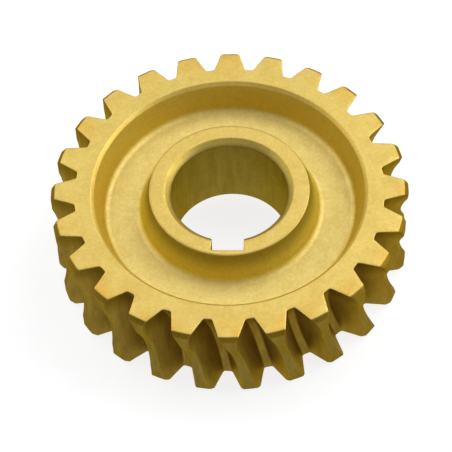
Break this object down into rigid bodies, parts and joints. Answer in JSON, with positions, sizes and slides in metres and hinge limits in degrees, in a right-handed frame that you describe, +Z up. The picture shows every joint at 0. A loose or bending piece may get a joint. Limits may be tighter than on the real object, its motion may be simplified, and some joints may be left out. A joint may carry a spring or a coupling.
{
  "type": "worm wheel",
  "caption": "Brass worm wheel with slanted, hollowed teeth, a web dished on both sides, a flush hub and a keyed through bore.",
  "frame": {"origin": "bottom centre: on the bore axis, in the plane of the lower rim and hub faces", "axes": "+Z up along the bore axis; -Y points from the axis to the keyway; X completes a right-handed frame"},
  "size_m": [0.0674, 0.0674, 0.0178],
  "materials": {
    "brass": "fine matt cast and machined brass"
  },
  "bodies": {
    "root": {"worm_wheel": "brass"}
  },
  "joints": []
}
